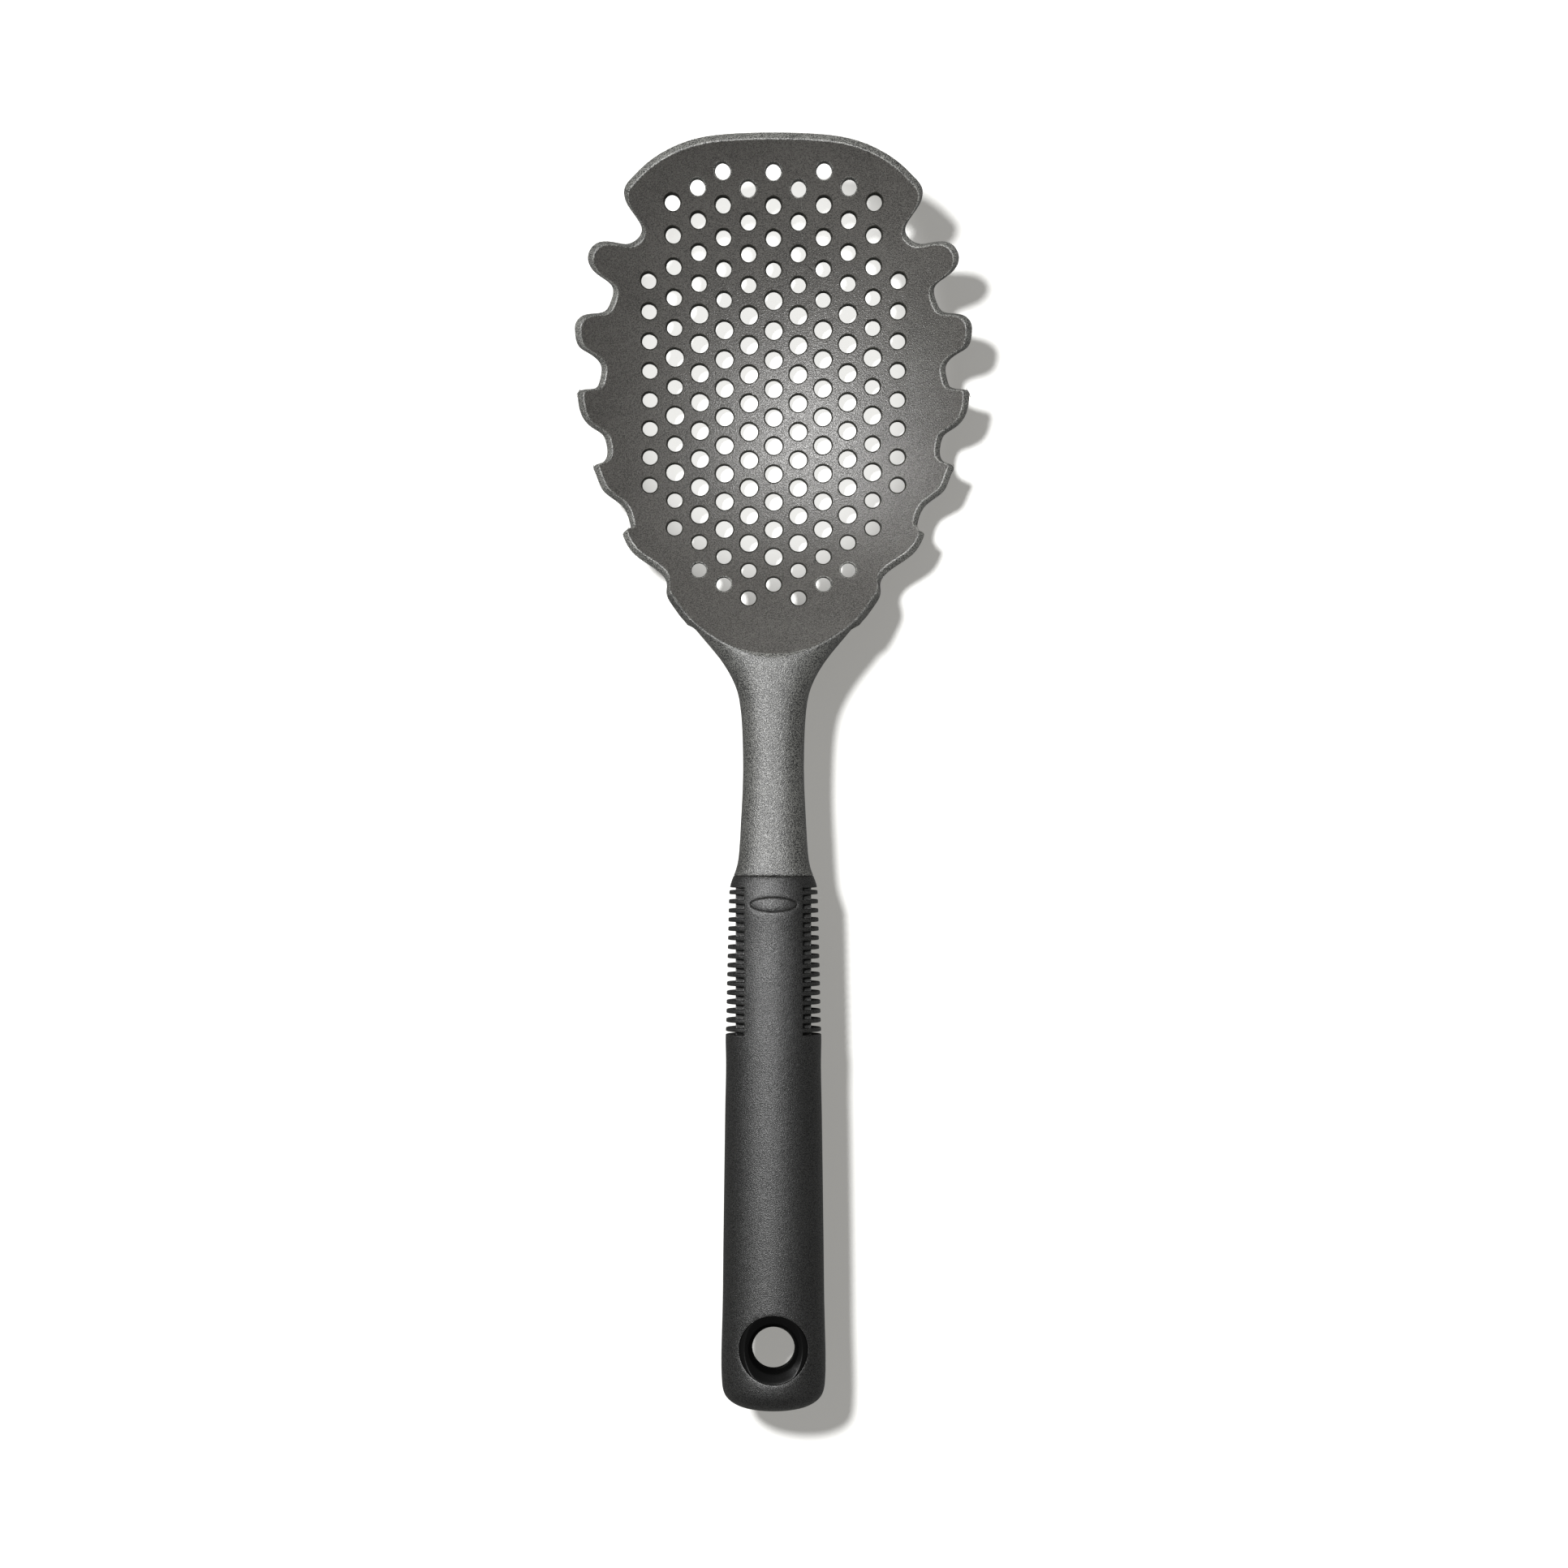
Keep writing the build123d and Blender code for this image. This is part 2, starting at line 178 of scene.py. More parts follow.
@dataclass(frozen=True)
class SpeckledPlastic:
    """A moulded plastic whose surface carries the fine grain of its mould.

    Attributes:
        name: Common name of the plastic and of how its surface was made.
        low: Colour of the grain's hollows.
        high: Colour of the grain's peaks.
        grain_mm: Distance between two peaks.
        grain_contrast: How sharply the surface turns from low to high across the grain.
        grain_height_mm: Height of the grain for the bump.
        cloud_mm: Size of the slow unevenness of the tone.
        cloud_strength: How much the slow unevenness shifts the tone.
        roughness: Mean roughness.
        roughness_swing: How far the grain moves the roughness.
        ior: Index of refraction.
        specular: Specular level.
        coat: Weight of the glossy skin over the plastic.
        coat_ior: Index of refraction of that skin.
        coat_floor: Share of that skin's weight in the grain's hollows.
        border: Y of the middle, radius and Y of the ends in mm of an arc with another grain behind it.
        behind: Colours of the grain's hollows and peaks behind that arc.
    """

    name: str
    low: str
    high: str
    grain_mm: float
    grain_contrast: float
    grain_height_mm: float
    cloud_mm: float
    cloud_strength: float
    roughness: float
    roughness_swing: float
    ior: float = 1.53
    specular: float = 0.5
    coat: float = 0.0
    coat_ior: float = 1.6
    coat_floor: float = 1.0
    border: tuple[float, float, float] = (0.0, 0.0, 0.0)
    behind: tuple[str, str] | None = None

    def grain_colours(self, made: bpy.types.Material, place: bpy.types.NodeSocket) -> list:
        """Colours of the hollows and the peaks, which may change at the border.

        Args:
            made: The material.
            place: Object coordinates.

        Returns:
            Two colours, or two sockets that give them.
        """
        colours = [linear(self.low), linear(self.high)]
        if self.behind is None:
            return colours
        # Behind the arc the bowl's inside takes lighter colours, which paint the light on the neck's
        # flanks
        middle, radius, ends = self.border
        flat = add_node(made, "ShaderNodeVectorMath", {0: place, 1: (1.0, 1.0, 0.0)}, operation="MULTIPLY")
        away = add_node(made, "ShaderNodeVectorMath", {0: flat.outputs[0], 1: (0.0, middle * MM, 0.0)},
                        operation="DISTANCE")
        outside = add_node(made, "ShaderNodeMath", {0: away.outputs["Value"], 1: radius * MM},
                           operation="GREATER_THAN")
        parts = add_node(made, "ShaderNodeSeparateXYZ", {0: place})
        rear = add_node(made, "ShaderNodeMath", {0: parts.outputs["Y"], 1: ends * MM},
                        operation="LESS_THAN")
        behind = add_node(made, "ShaderNodeMath", {0: outside.outputs[0], 1: rear.outputs[0]},
                          operation="MULTIPLY")
        return [add_node(made, "ShaderNodeMix", {"Factor": behind.outputs[0], 6: near, 7: linear(far)},
                         data_type="RGBA").outputs[2] for near, far in zip(colours, self.behind)]

    def material(self) -> bpy.types.Material:
        """Build the node material.

        Returns:
            A material that reads Object coordinates in metres.
        """
        made = new_material(self.name)
        place = add_node(made, "ShaderNodeTexCoord").outputs["Object"]
        grain = add_node(made, "ShaderNodeTexNoise",
                         {"Vector": place, "Scale": NOISE_PEAKS_APART / (self.grain_mm * MM),
                          "Detail": 1.0, "Roughness": 0.6})
        cloud = add_node(made, "ShaderNodeTexNoise",
                         {"Vector": place, "Scale": 1 / (self.cloud_mm * MM), "Detail": 3.0})
        drift = add_node(made, "ShaderNodeMath", {0: cloud.outputs["Fac"], 1: NOISE_MIDDLE},
                         operation="SUBTRACT")
        drift = add_node(made, "ShaderNodeMath", {0: drift.outputs[0], 1: self.cloud_strength},
                         operation="MULTIPLY")
        mixed = add_node(made, "ShaderNodeMath", {0: grain.outputs["Fac"], 1: drift.outputs[0]},
                         operation="ADD")
        reach = NOISE_TONE_REACH / self.grain_contrast
        tone = add_node(made, "ShaderNodeMapRange",
                        {"Value": mixed.outputs[0], "From Min": NOISE_MIDDLE - reach,
                         "From Max": NOISE_MIDDLE + reach})
        low, high = self.grain_colours(made, place)
        colour = add_node(made, "ShaderNodeMix", {"Factor": tone.outputs[0], 6: low, 7: high},
                          data_type="RGBA")
        rough = add_node(made, "ShaderNodeMapRange",
                         {"Value": grain.outputs["Fac"],
                          "From Min": NOISE_MIDDLE - NOISE_SHEEN_REACH,
                          "From Max": NOISE_MIDDLE + NOISE_SHEEN_REACH,
                          "To Min": self.roughness + self.roughness_swing,
                          "To Max": self.roughness - self.roughness_swing})
        coat = self.coat
        if self.coat > 0 and self.coat_floor < 1:
            coat = add_node(made, "ShaderNodeMapRange",
                            {"Value": tone.outputs[0], "To Min": self.coat * self.coat_floor,
                             "To Max": self.coat}).outputs[0]
        bump = add_node(made, "ShaderNodeBump",
                        {"Height": grain.outputs["Fac"], "Distance": self.grain_height_mm * MM,
                         "Strength": 1.0})
        shader = add_node(made, "ShaderNodeBsdfPrincipled",
                          {"Base Color": colour.outputs[2], "Roughness": rough.outputs[0],
                           "IOR": self.ior, "Specular IOR Level": self.specular,
                           "Coat Weight": coat, "Coat Roughness": self.roughness,
                           "Coat IOR": self.coat_ior, "Normal": bump.outputs[0],
                           "Coat Normal": bump.outputs[0]})
        add_node(made, "ShaderNodeOutputMaterial", {"Surface": shader.outputs[0]})
        return made


# The real grain of nylon and rubber is about 0.36 mm from peak to peak. Below, it is drawn at 0.5 to
# 0.6 mm, as coarse as it needs to show in the render, where a finer one blurs to a plain tone.

# Glass-filled nylon moulded against a lightly blasted cavity: dark, with a broad silky sheen. The border
# is the arc between bowl and neck, behind which the cavity was spark-eroded; there the grain takes the
# rim's lighter colours, a painted highlight of the light on the neck's flanks.
NYLON_INSIDE = SpeckledPlastic(
    name="glass_filled_nylon_fine", low="#484643", high="#807d78", grain_mm=0.6, grain_contrast=0.9,
    grain_height_mm=0.14, cloud_mm=18, cloud_strength=0.15, roughness=0.38, roughness_swing=0.08,
    ior=1.6, specular=1.0, coat=1.0, coat_ior=1.9, coat_floor=0.4, border=(64.4, 31.0, 49.5),
    behind=("#2c2c2a", "#c4c4be"))

# The same nylon against a spark-eroded cavity: coarse sparkling grain, so the eye reads it lighter
NYLON_GRAINED = SpeckledPlastic(
    name="glass_filled_nylon_spark_eroded", low="#090909", high="#8b8b86", grain_mm=0.6,
    grain_contrast=1.3, grain_height_mm=0.14, cloud_mm=14, cloud_strength=0.2, roughness=0.42,
    roughness_swing=0.08, ior=1.6, specular=1.0, coat=1.0, coat_ior=1.7)

# The same grained nylon on the rim and the teeth, in lighter colours that paint the highlight where the
# light catches the grain on every edge
NYLON_RIM_PAINTED_HIGHLIGHT = SpeckledPlastic(
    name="glass_filled_nylon_rim_painted_highlight", low="#2c2c2a", high="#c4c4be", grain_mm=0.6, grain_contrast=1.3,
    grain_height_mm=0.14, cloud_mm=14, cloud_strength=0.2, roughness=0.42, roughness_swing=0.08,
    ior=1.6, specular=1.0, coat=1.0, coat_ior=1.8)

# The same nylon where polished pins shaped it, in the walls and rounded edges of the holes: smooth and
# plain, with a darker colour that paints the holes' shade
NYLON_PINNED_PAINTED_SHADE = SpeckledPlastic(
    name="glass_filled_nylon_smooth_painted_shade", low="#3a3a36", high="#4e4d48", grain_mm=0.6, grain_contrast=0.4,
    grain_height_mm=0.01, cloud_mm=14, cloud_strength=0.2, roughness=0.5, roughness_swing=0.05,
    specular=0.3)

# Thermoplastic rubber over-moulded in a blasted cavity: soft, matt, with a dust-fine grey grain
GRIP_RUBBER = SpeckledPlastic(
    name="thermoplastic_rubber_matt", low="#050505", high="#2a2a28", grain_mm=0.5, grain_contrast=1.0,
    grain_height_mm=0.1, cloud_mm=20, cloud_strength=0.05, roughness=0.44, roughness_swing=0.06,
    ior=1.5, coat=1.0, coat_ior=2.1, coat_floor=0.3)

# The same rubber on the floors of the gaps between the fins, plain, dull and without its glossy coat:
# painted shade, so that the gaps read as dark as the fins' shade makes them
GAP_RUBBER_PAINTED_SHADE = SpeckledPlastic(
    name="thermoplastic_rubber_painted_gap_shade", low="#050505", high="#2a2a28", grain_mm=0.5, grain_contrast=1.0,
    grain_height_mm=0.05, cloud_mm=20, cloud_strength=0.05, roughness=0.55, roughness_swing=0.05,
    ior=1.5)

# Hard polypropylene from a polished cavity: near black and smooth, with soft highlights
CORE_PLASTIC = SpeckledPlastic(
    name="polypropylene_polished", low="#0a0a0a", high="#101010", grain_mm=0.8, grain_contrast=0.3,
    grain_height_mm=0.002, cloud_mm=12, cloud_strength=0.2, roughness=0.35, roughness_swing=0.04,
    ior=1.49, specular=0.35)


def deselect_all() -> None:
    """Leave nothing selected."""
    for thing in bpy.context.view_layer.objects:
        thing.select_set(False)


def make_active(piece: bpy.types.Object) -> None:
    """Select one object alone and make it active.

    Args:
        piece: Object to work on.
    """
    deselect_all()
    piece.select_set(True)
    bpy.context.view_layer.objects.active = piece


def apply_modifier(piece: bpy.types.Object, kind: str, **settings: object) -> None:
    """Add a modifier and apply it at once.

    Args:
        piece: Object that gets the modifier.
        kind: Blender's name for the modifier type.
        **settings: Attributes of the modifier.
    """
    make_active(piece)
    modifier = piece.modifiers.new(kind.lower(), kind)
    for name, value in settings.items():
        setattr(modifier, name, value)
    bpy.ops.object.modifier_apply(modifier=modifier.name)


def merged_copy(node: str, name: str) -> bpy.types.Object:
    """Copy a CAD node's mesh as a new piece whose triangles are joined.

    Args:
        node: CAD node to copy.
        name: Name of the new piece.

    Returns:
        The new piece, in the same place.
    """
    piece = bpy.data.objects.new(name, frame["nodes"][node].data.copy())
    bpy.context.scene.collection.objects.link(piece)
    piece.data.materials.clear()
    make_active(piece)
    bpy.ops.object.mode_set(mode="EDIT")
    bpy.ops.mesh.select_all(action="SELECT")
    bpy.ops.mesh.remove_doubles(threshold=WELD)
    bpy.ops.mesh.customdata_custom_splitnormals_clear()
    bpy.ops.object.mode_set(mode="OBJECT")
    return piece


def round_edges(piece: bpy.types.Object, width_mm: float, sharper_than: float, segments: int) -> None:
    """Round every edge that turns by more than an angle.

    Args:
        piece: Object to round.
        width_mm: Width of the rounding.
        sharper_than: Angle in degrees.
        segments: Strips across the rounding.
    """
    apply_modifier(piece, "BEVEL", width=width_mm * MM, segments=segments, limit_method="ANGLE",
                   angle_limit=math.radians(sharper_than), use_clamp_overlap=False)
    make_active(piece)
    bpy.ops.object.shade_smooth_by_angle(angle=SMOOTH_BELOW)


def seat(piece: bpy.types.Object, node: str) -> None:
    """Register a finished piece with the frame.

    Args:
        piece: The finished piece.
        node: CAD node that it stands for.
    """
    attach(piece, BODY)
    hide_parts(node)
    logger.info("%s: %d faces", piece.name, len(piece.data.polygons))


def read_all(items: bpy.types.bpy_prop_collection, attribute: str, width: int = 1,
             kind: type = float) -> np.ndarray:
    """Read one attribute of all vertices, corners or faces of a mesh.

    Args:
        items: The vertices, corners or faces.
        attribute: Name of the attribute.
        width: How many numbers the attribute has.
        kind: Type of these numbers.

    Returns:
        The numbers, in rows where the attribute has several.
    """
    numbers = np.zeros(len(items) * width, kind)
    items.foreach_get(attribute, numbers)
    return numbers.reshape(-1, width) if width > 1 else numbers


@dataclass
class ScoopHead:
    """The nylon head: toothed bowl, neck and tang.

    Attributes:
        wall: Wall of the bowl.
        cross_radius: Radius across the bowl.
        front_radius: Radius along the bowl's front half.
        rear_radius: Radius along the bowl's rear half.
        rear_slope: Slope of the straight rise to the neck in degrees.
        low_point: Y of the bowl's lowest point.
        bowl_from: Y from which on faces can belong to a hole or to the rim.
        foot_rounds: Rounds in which a point's foot on the skin is found.
        rim_rounding: Rounding of the rim and the holes.
        round_over: Angle in degrees from which on an edge is rounded.
        skin_tolerance: How near a face lies to the skin that it belongs to.
        skin_turn: Least cosine between the normals of a face and of its skin; roundings turn more.
        hole_pitch: Distance between neighbouring drain holes.
        hole_middle: Y of the middle of the holes' pattern.
        hole_radii: Smallest and largest distance of a hole's wall or rounding from its axis.
        hole_lean: How far the faces of a hole may lie to one side of its axis, as a share.
        hole_end: Y beyond which there is no hole.
        rim_from: Y from which on the rim has its own finish, in lighter colours that paint a highlight.
        finishes: Finish of each zone.
    """

    wall: float = 2.8
    cross_radius: float = 78.0
    front_radius: float = 98.0
    rear_radius: float = 70.0
    rear_slope: float = 38.0
    low_point: float = 95.2
    bowl_from: float = 35.0
    foot_rounds: int = 6
    rim_rounding: float = 0.4
    round_over: float = 40.0
    skin_tolerance: float = 0.1
    skin_turn: float = 0.99
    hole_pitch: float = 8.0
    hole_middle: float = 109.26
    hole_radii: tuple[float, float] = (1.9, 3.0)
    hole_lean: float = 0.3
    hole_end: float = 162.0
    rim_from: float = 50.0
    finishes: tuple[SpeckledPlastic, ...] = (NYLON_GRAINED, NYLON_INSIDE, NYLON_PINNED_PAINTED_SHADE, NYLON_RIM_PAINTED_HIGHLIGHT)

    def skin(self, x: np.ndarray, y: np.ndarray) -> tuple[np.ndarray, np.ndarray]:
        """Height and upward normal of the bowl's inner skin over plan points.

        Args:
            x: Places across the bowl in mm.
            y: Places along the bowl in mm.

        Returns:
            Heights in mm, and unit normals as rows of three.
        """
        slope = math.radians(self.rear_slope)
        reach = y - self.low_point
        straight_from = self.rear_radius * math.sin(slope)
        across = np.sqrt(np.maximum(self.cross_radius**2 - x**2, 1.0))
        front = np.sqrt(np.maximum(self.front_radius**2 - np.maximum(reach, 0) ** 2, 1.0))
        bent = np.minimum(np.maximum(-reach, 0), straight_from)
        rear = np.sqrt(self.rear_radius**2 - bent**2)
        straight = np.maximum(-reach - straight_from, 0)
        height = self.wall + self.cross_radius - across
        height += np.where(reach >= 0, self.front_radius - front,
                           self.rear_radius - rear + straight * math.tan(slope))
        slope_y = np.where(reach >= 0, reach / front, -bent / rear)
        normal = np.stack([-x / across, -slope_y, np.ones_like(x)], axis=1)
        return height, normal / np.linalg.norm(normal, axis=1, keepdims=True)

    def depth(self, points: np.ndarray) -> tuple[np.ndarray, np.ndarray]:
        """How deep points lie below the inner skin, measured square to it.

        Args:
            points: Rows of x, y and z in mm.

        Returns:
            Depths in mm, and the skin's upward normals.
        """
        foot = points.copy()
        for _ in range(self.foot_rounds):
            height, normal = self.skin(foot[:, 0], foot[:, 1])
            depth = ((np.stack([foot[:, 0], foot[:, 1], height], axis=1) - points) * normal).sum(axis=1)
            foot[:, :2] = (points + normal * depth[:, None])[:, :2]
        return depth, normal

    def in_hole(self, places: np.ndarray, areas: np.ndarray) -> np.ndarray:
        """Whether faces are part of the wall or the rounding of a drain hole.

        Such faces lie at a hole's radius from a point of the hexagonal grid, and all round it.

        Args:
            places: Rows of x and y in mm, one for each face.
            areas: Area of each face, and 0 for a face that can be no hole's.

        Returns:
            True for each face of a hole.
        """
        column_step = self.hole_pitch * math.sqrt(3) / 2
        column = np.round(places[:, 0] / column_step)
        row_start = self.hole_middle + (column % 2) * self.hole_pitch / 2
        row = np.round((places[:, 1] - row_start) / self.hole_pitch)
        off = places - np.stack([column * column_step, row_start + row * self.hole_pitch], axis=1)
        away = np.maximum(np.linalg.norm(off, axis=1), WELD / MM)
        near = (away > self.hole_radii[0]) & (away < self.hole_radii[1])
        weight = areas * near
        hole = np.unique(np.stack([column, row], axis=1), axis=0, return_inverse=True)[1].ravel()
        lean = np.hypot(*(np.bincount(hole, weight * off[:, axis] / away) for axis in (0, 1)))
        return (weight > 0) & (lean < self.hole_lean * np.bincount(hole, weight))[hole]

    def dress_skins(self, piece: bpy.types.Object) -> None:
        """Give the bowl's two skins the true normals of their curve, and each face its finish.

        Args:
            piece: The head after its edges are rounded.
        """
        mesh = piece.data
        depth, normal = self.depth(read_all(mesh.vertices, "co", 3) / MM)
        corners = read_all(mesh.corner_normals, "vector", 3)
        vertex_of = read_all(mesh.loops, "vertex_index", kind=int)
        totals = read_all(mesh.polygons, "loop_total", kind=int)
        face_of = np.repeat(np.arange(len(totals)), totals)
        turned = (read_all(mesh.polygons, "normal", 3)[face_of] * normal[vertex_of]).sum(axis=1)
        below = depth[vertex_of]
        inner = (np.abs(below) < self.skin_tolerance) & (turned > self.skin_turn)
        outer = (np.abs(below - self.wall) < self.skin_tolerance) & (turned < -self.skin_turn)
        inner_face = np.bincount(face_of, inner) == totals
        outer_face = np.bincount(face_of, outer) == totals
        on_inner = inner_face[face_of]
        on_outer = outer_face[face_of]
        corners[on_inner] = normal[vertex_of[on_inner]]
        corners[on_outer] = -normal[vertex_of[on_outer]]
        mesh.normals_split_custom_set(corners.tolist())
        middles = read_all(mesh.polygons, "center", 3) / MM
        deepest = np.zeros(len(totals))
        np.maximum.at(deepest, face_of, below)
        past_wall = deepest > self.wall + self.skin_tolerance
        areas = read_all(mesh.polygons, "area")
        areas[(middles[:, 1] < self.bowl_from) | past_wall | inner_face | outer_face] = 0
        rim = (areas > 0) & (middles[:, 1] > self.rim_from)
        areas[middles[:, 1] > self.hole_end] = 0
        # Holes get the darker finish that paints their shade, and the rim the lighter one that paints its
        # highlight
        zones = np.select([inner_face, self.in_hole(middles[:, :2], areas), rim],
                          [Zone.INSIDE, Zone.HOLE, Zone.RIM], Zone.OUTSIDE)
        mesh.polygons.foreach_set("material_index", zones)
        logger.info("faces of each zone: %s", np.bincount(zones))

    def build(self) -> None:
        """Build and dress the head."""
        piece = merged_copy("scoop_head", "nylon_head")
        round_edges(piece, self.rim_rounding, self.round_over, segments=3)
        for finish in self.finishes:
            piece.data.materials.append(finish.material())
        self.dress_skins(piece)
        seat(piece, "scoop_head")


@dataclass
class Handle:
    """Hard core with its hang ring, and the soft grip over it.

    Attributes:
        ring_rounding: Rounding of the ring's edges.
        ring_round_over: Angle in degrees from which on an edge of the core is rounded.
        grip_rounding: Rounding of the fins and openings.
        grip_round_over: Angle in degrees from which on an edge of the grip is rounded.
        axis_height: Height of the grip's axis.
        gap_floor: Height of the gaps' floors above and below the axis.
        gap_floor_from: Distance of those floors from X = 0.
        fins_y: First and last Y of the fins.
        floor_tolerance: How near a face lies to the floor that it belongs to.
        floor_level: Least upright share of the normal of such a face.
    """

    ring_rounding: float = 0.25
    ring_round_over: float = 25.0
    grip_rounding: float = 0.2
    grip_round_over: float = 40.0
    axis_height: float = 27.0
    gap_floor: float = 3.6
    gap_floor_from: float = 7.8
    fins_y: tuple[float, float] = (-73.0, -28.0)
    floor_tolerance: float = 0.1
    floor_level: float = 0.99

    def on_gap_floor(self, face: bpy.types.MeshPolygon) -> bool:
        """Whether a face of the grip is part of the floor of a gap between two fins.

        Args:
            face: Face of the grip.

        Returns:
            True for a face of such a floor.
        """
        x, y, z = face.center / MM
        off_floor = abs(abs(z - self.axis_height) - self.gap_floor)
        in_gap = self.fins_y[0] < y < self.fins_y[1] and abs(x) > self.gap_floor_from
        return in_gap and off_floor < self.floor_tolerance and abs(face.normal.z) > self.floor_level

    def build(self) -> None:
        """Build and dress the core and the grip."""
        core = merged_copy("handle_core", "hang_ring_core")
        round_edges(core, self.ring_rounding, self.ring_round_over, segments=3)
        core.data.materials.append(CORE_PLASTIC.material())
        seat(core, "handle_core")
        grip = merged_copy("grip_sleeve", "soft_grip")
        round_edges(grip, self.grip_rounding, self.grip_round_over, segments=2)
        for finish in (GRIP_RUBBER, GAP_RUBBER_PAINTED_SHADE):
            grip.data.materials.append(finish.material())
        # The gaps' floors get the rubber without its coat, as painted shade of the fins
        for face in grip.data.polygons:
            if self.on_gap_floor(face):
                face.material_index = 1
        seat(grip, "grip_sleeve")


def hang_lamp(light: bpy.types.Light, place: Sequence[float], target: Sequence[float],
              receivers: bpy.types.Collection) -> bpy.types.Object:
    """Hang a lamp that doesn't fade with distance, so that it lights the whole set evenly.

    Args:
        light: The lamp's data.
        place: Place of the lamp in mm.
        target: Place in mm that it faces.
        receivers: What it lights.

    Returns:
        The lamp.
    """
    light.use_nodes = True
    falloff = add_node(light, "ShaderNodeLightFalloff", {"Strength": 1.0})
    emission = light.node_tree.nodes["Emission"]
    light.node_tree.links.new(falloff.outputs["Constant"], emission.inputs["Strength"])
    lamp = bpy.data.objects.new(light.name, light)
    lamp.location = Vector(place) * MM
    lamp.rotation_mode = "QUATERNION"
    lamp.rotation_quaternion = (Vector(target) - Vector(place)).to_track_quat("-Z", "Y")
    bpy.context.scene.collection.objects.link(lamp)
    lamp.light_linking.receiver_collection = receivers
    return lamp


@dataclass(frozen=True)
class Lamp:
    """A round soft lamp.

    Attributes:
        name: Name of the lamp.
        place: Place in mm.
        width: Width in mm, which softens its shadows and highlights.
        share: Light that it gives a white surface facing it, where one renders white.
        lights_floor: Whether it lights the floor alone, or else the tool alone.
    """

    name: str
    place: tuple[float, float, float]
    width: float
    share: float
    lights_floor: bool


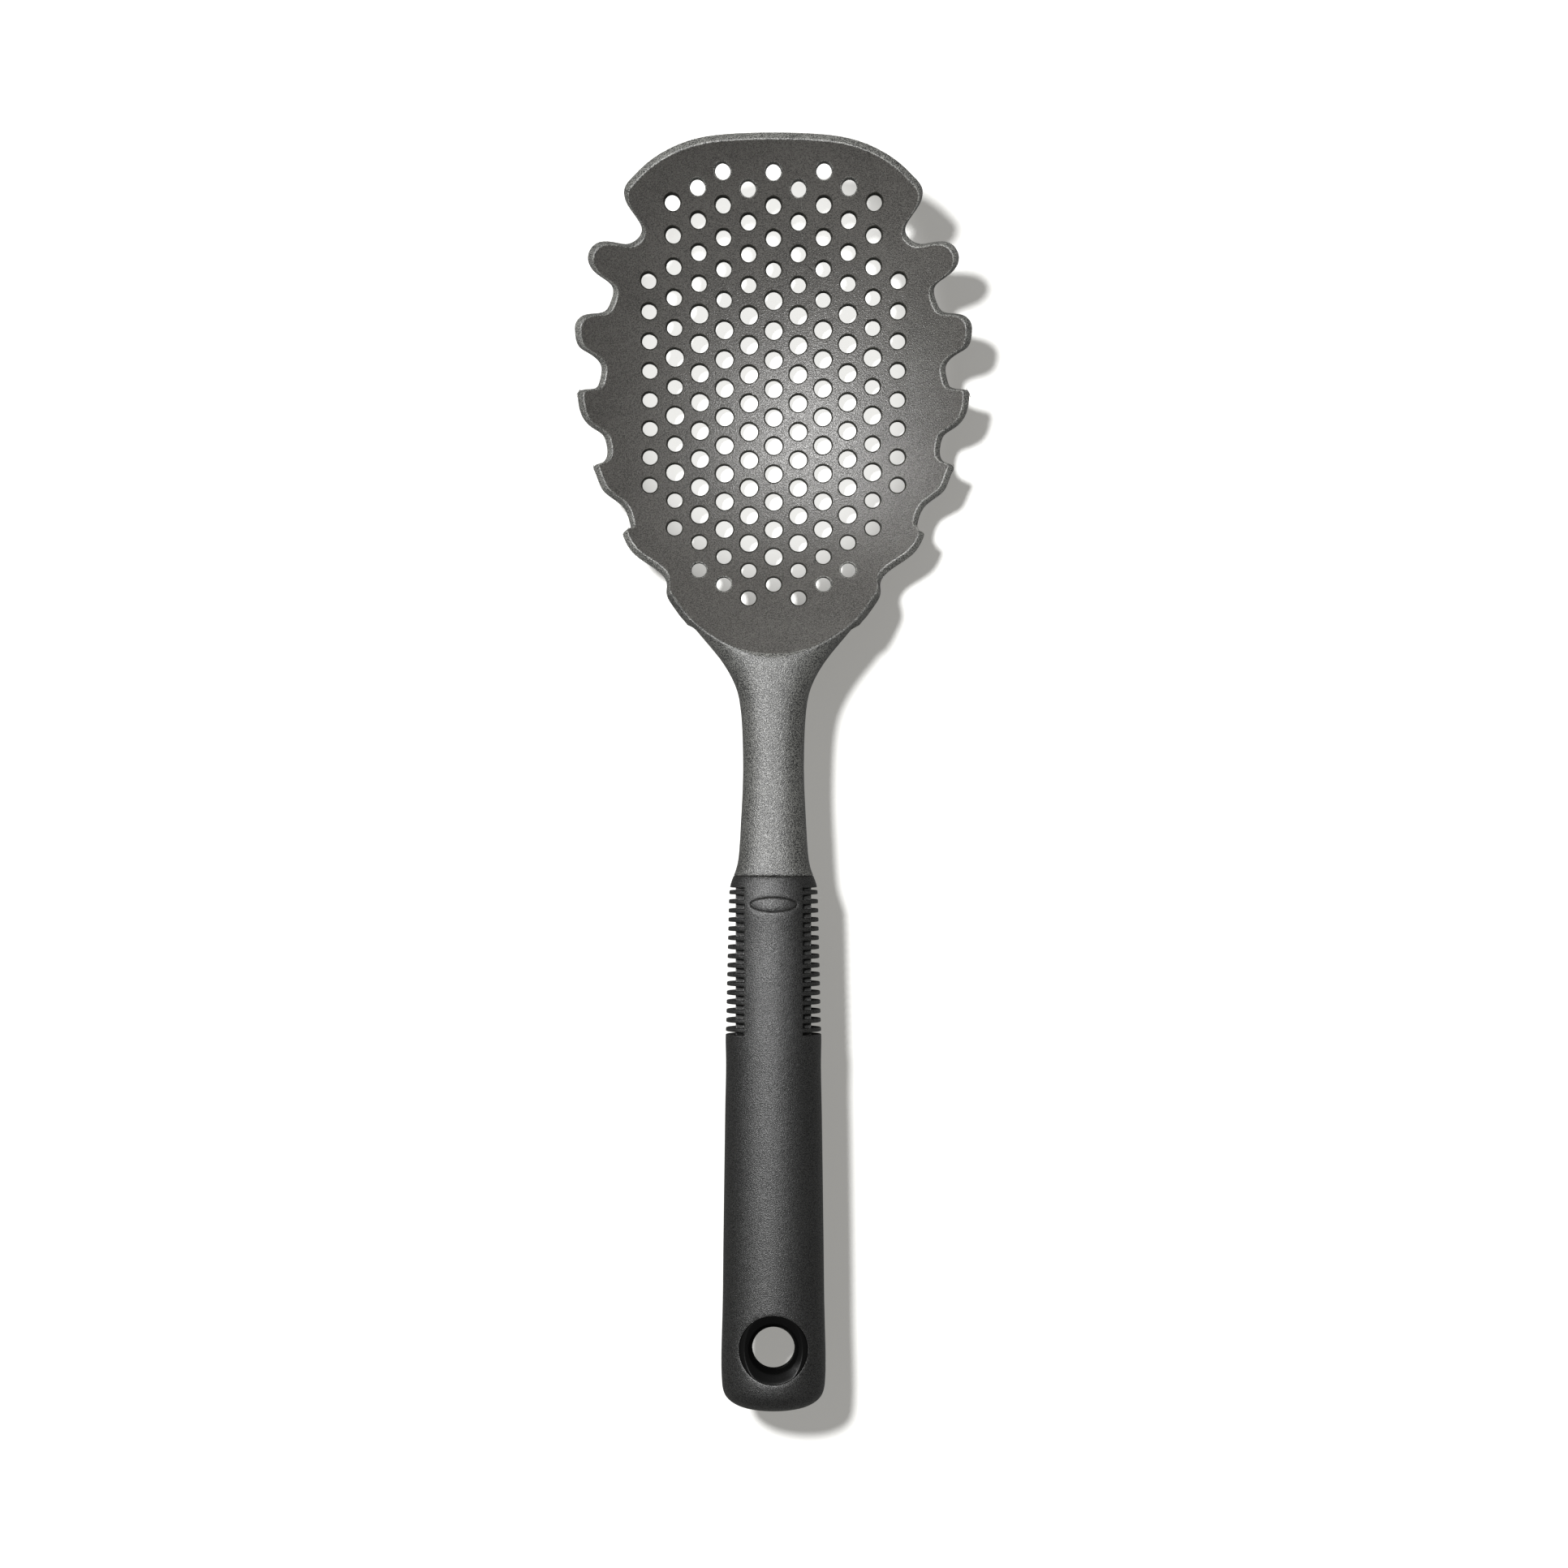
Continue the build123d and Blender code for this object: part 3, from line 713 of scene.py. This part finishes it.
@dataclass
class Studio:
    """Pale floor, soft lamps and the camera above the tool.

    Attributes:
        camera_place: Camera above the floor.
        pixels_per_slope: Pixels of the 1932 pixel image for one unit of slope from the view axis.
        image_side: Side of the square image in pixels.
        sensor: Camera sensor's width.
        floor_side: Side of the floor.
        floor_colour: Colour of the floor.
        bounce_share: Share of the floor's brightness that reaches the tool, as close round the tool
            the real floor is mostly in its shade.
        floor_lift: Brightness that the camera sees on top of the floor's own.
        lift_colour: Tint of that brightness, which shows in the shadows.
        far_from: Distance in metres from which on the camera sees the floor fade to full white.
        far_to: Distance in metres at which it is full white, so that no horizon shows.
        sky_strength: Strength of the even light from all round.
        lamp_target: Place that every round lamp faces.
        lamps: The round lamps.
        beam_place: Place of the narrow lamp that shines through the bowl's holes onto the floor.
        beam_width: Width of that lamp.
        beam_target: Middle of the ground that it lights, below the holes.
        beam_reach: Half width and half length of that ground.
        beam_share: Light that it gives that ground, where one renders white.
        beam_softness: Share of the beam over which it fades out.
    """

    camera_place: tuple[float, float, float] = (2.9, -2.3, 902.8)
    pixels_per_slope: float = 3923.0
    image_side: float = 1932.0
    sensor: float = 36.0
    floor_side: float = 6000.0
    floor_colour: str = "#e8e8e6"
    bounce_share: float = 0.16
    floor_lift: float = 0.265
    lift_colour: str = "#fffdf7"
    far_from: float = 0.4
    far_to: float = 1.1
    sky_strength: float = 0.1
    lamp_target: tuple[float, float, float] = (0.0, 60.0, 15.0)
    lamps: tuple[Lamp, ...] = (
        Lamp("floor_lamp", (-338, 302, 1135), 130, 1.25, lights_floor=True),
        Lamp("overhead_softbox", (-200, 255, 1135), 180, 0.62, lights_floor=False),
        Lamp("low_softbox", (-1100, 600, 1100), 160, 0.13, lights_floor=False),
    )
    beam_place: tuple[float, float, float] = (2.9, -2.3, 902.8)
    beam_width: float = 6.0
    beam_target: tuple[float, float, float] = (-1.0, 116.0, 0.0)
    beam_reach: tuple[float, float] = (52.0, 74.0)
    beam_share: float = 0.7
    beam_softness: float = 0.6

    def add_lamp(self, lamp: Lamp, receivers: bpy.types.Collection) -> None:
        """Add one round lamp.

        Args:
            lamp: The lamp.
            receivers: What it lights.
        """
        light = bpy.data.lights.new(lamp.name, "AREA")
        light.shape = "DISK"
        light.size = lamp.width * MM
        light.energy = lamp.share * DISK_POWER
        hang_lamp(light, lamp.place, self.lamp_target, receivers)

    def add_beam(self, receivers: bpy.types.Collection) -> None:
        """Add the narrow lamp that shines down through the bowl's holes.

        Args:
            receivers: What it lights.
        """
        way = Vector(self.beam_target) - Vector(self.beam_place)
        half_width, half_length = self.beam_reach
        light = bpy.data.lights.new("beam_through_holes", "SPOT")
        light.spot_size = 2 * math.atan(half_width / way.length)
        light.spot_blend = self.beam_softness
        light.shadow_soft_size = self.beam_width / 2 * MM
        light.energy = self.beam_share * SPOT_POWER
        beam = hang_lamp(light, self.beam_place, self.beam_target, receivers)
        beam.scale = (1, half_length / half_width, 1)

    def floor_material(self) -> bpy.types.Material:
        """Pale board that looks a little brighter to the camera, so that it reads white.

        Returns:
            The floor's material.
        """
        made = new_material("pale_board")
        seen = add_node(made, "ShaderNodeLightPath").outputs["Is Camera Ray"]
        shown = add_node(made, "ShaderNodeMapRange", {"Value": seen, "To Min": self.bounce_share})
        colour = add_node(made, "ShaderNodeMix",
                          {"Factor": shown.outputs[0], 6: linear("#000000"),
                           7: linear(self.floor_colour)}, data_type="RGBA")
        board = add_node(made, "ShaderNodeBsdfDiffuse", {"Color": colour.outputs[2]})
        place = add_node(made, "ShaderNodeTexCoord").outputs["Object"]
        spread = add_node(made, "ShaderNodeVectorMath", {0: place}, operation="LENGTH")
        far = add_node(made, "ShaderNodeMapRange",
                       {"Value": spread.outputs["Value"], "From Min": self.far_from,
                        "From Max": self.far_to, "To Min": self.floor_lift},
                       interpolation_type="SMOOTHSTEP")
        lift = add_node(made, "ShaderNodeMath", {0: seen, 1: far.outputs[0]}, operation="MULTIPLY")
        glow = add_node(made, "ShaderNodeEmission", {"Color": linear(self.lift_colour),
                                                     "Strength": lift.outputs[0]})
        both = add_node(made, "ShaderNodeAddShader", {0: board.outputs[0], 1: glow.outputs[0]})
        add_node(made, "ShaderNodeOutputMaterial", {"Surface": both.outputs[0]})
        return made

    def build_floor(self) -> bpy.types.Object:
        """Lay the floor.

        Returns:
            The floor.
        """
        deselect_all()
        bpy.ops.mesh.primitive_plane_add(size=self.floor_side * MM, location=(0, 0, 0))
        floor = bpy.context.view_layer.objects.active
        floor.name = "pale_floor"
        floor.data.materials.append(self.floor_material())
        floor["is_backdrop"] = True
        return floor

    def build_world(self) -> None:
        """Even light from all round, which the camera sees as white."""
        world = bpy.data.worlds.new("soft_room")
        world.use_nodes = True
        back = world.node_tree.nodes["Background"]
        back.inputs["Color"].default_value = linear("#ffffff")
        seen = add_node(world, "ShaderNodeLightPath").outputs["Is Camera Ray"]
        strength = add_node(world, "ShaderNodeMapRange", {"Value": seen, "To Min": self.sky_strength})
        world.node_tree.links.new(strength.outputs[0], back.inputs["Strength"])
        bpy.context.scene.world = world

    def build_camera(self) -> None:
        """Set the camera straight above the tool."""
        data = bpy.data.cameras.new("overhead_camera")
        data.sensor_width = self.sensor
        data.lens = self.pixels_per_slope * self.sensor / self.image_side
        camera = bpy.data.objects.new("overhead_camera", data)
        camera.location = Vector(self.camera_place) * MM
        bpy.context.scene.collection.objects.link(camera)
        bpy.context.scene.camera = camera

    def build(self) -> None:
        """Build camera, floor, lamps and room."""
        self.build_camera()
        floor_alone = bpy.data.collections.new("floor_alone")
        floor_alone.objects.link(self.build_floor())
        tool_alone = bpy.data.collections.new("tool_alone")
        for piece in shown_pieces():
            tool_alone.objects.link(piece)
        for lamp in self.lamps:
            self.add_lamp(lamp, floor_alone if lamp.lights_floor else tool_alone)
        self.add_beam(floor_alone)
        self.build_world()


def main() -> None:
    """Build the tool and its studio."""
    logging.basicConfig(level=logging.INFO)
    bpy.context.scene.view_settings.view_transform = "Standard"
    ScoopHead().build()
    Handle().build()
    Studio().build()


if __name__ == "__main__":
    main()
